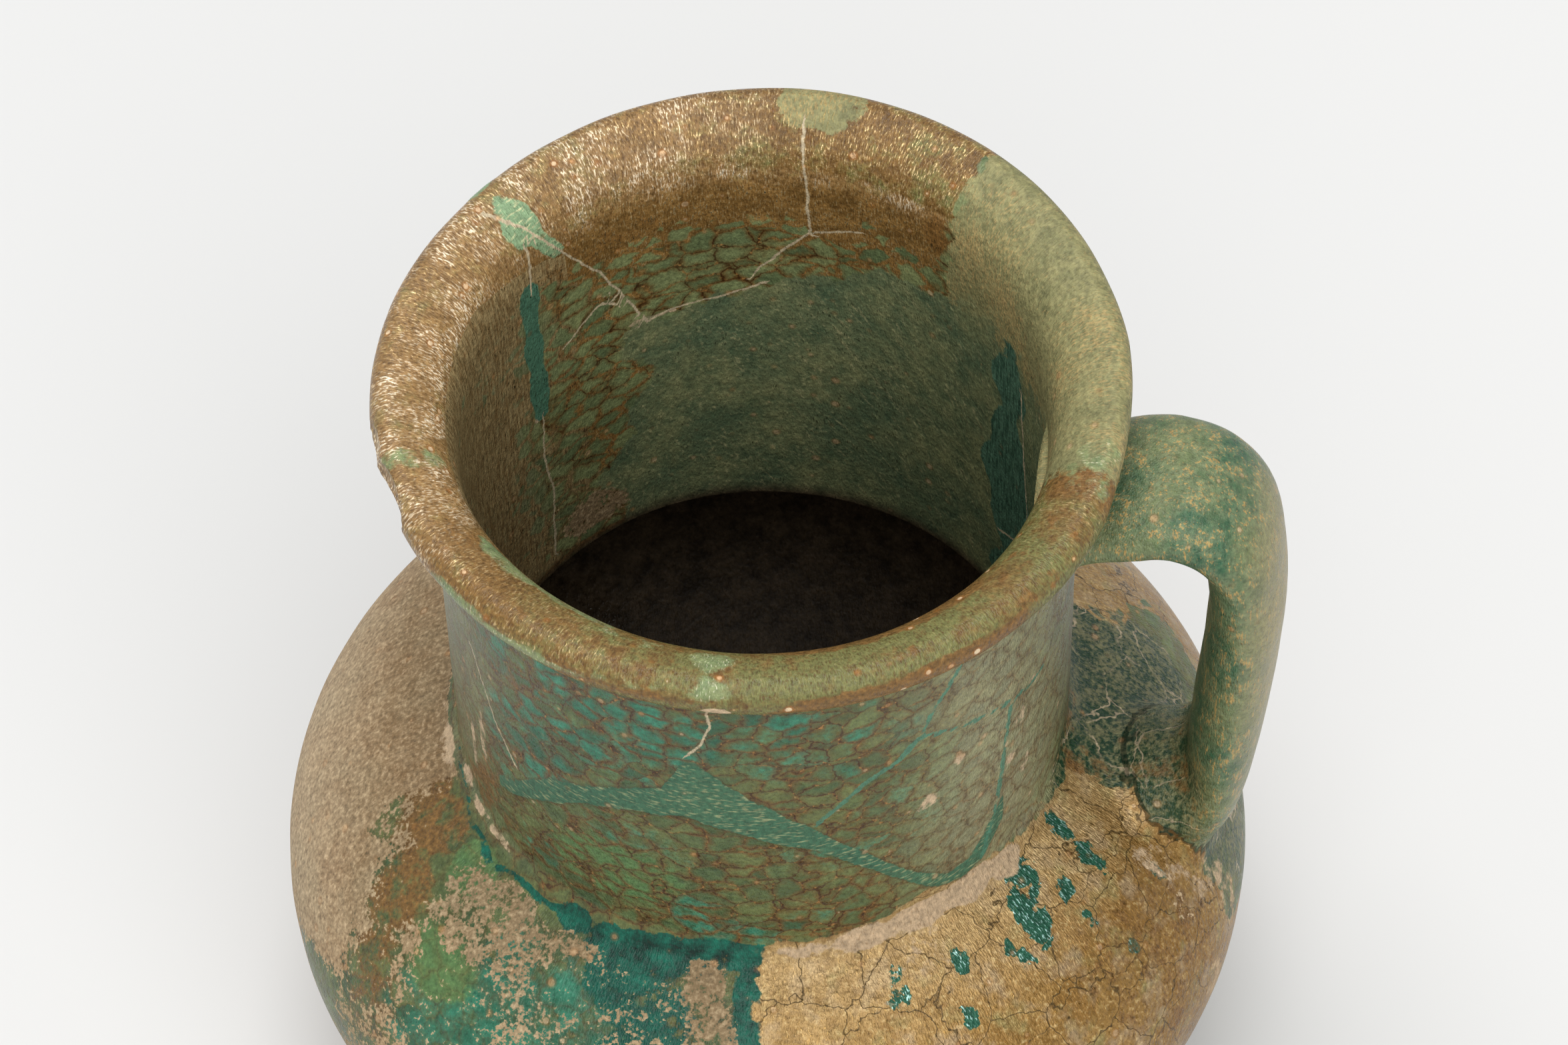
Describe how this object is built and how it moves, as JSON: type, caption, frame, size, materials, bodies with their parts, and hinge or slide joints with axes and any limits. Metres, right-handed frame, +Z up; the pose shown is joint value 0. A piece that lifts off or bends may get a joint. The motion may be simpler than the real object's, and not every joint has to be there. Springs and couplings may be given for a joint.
{
  "type": "glazed pottery jug",
  "caption": "Round-bodied earthenware jug with a wide straight neck, a flaring lip and a strap handle, its turquoise glaze weathered to green and gold.",
  "frame": {"origin": "middle of the flat underside of the foot", "axes": "+Z up through the mouth, +X from the axis towards the handle, +Y to the left of the handle seen from above"},
  "size_m": [0.149, 0.1464, 0.1605],
  "materials": {
    "weathered_glaze": "satin"
  },
  "bodies": {
    "root": {"jug": "weathered_glaze"}
  },
  "joints": []
}
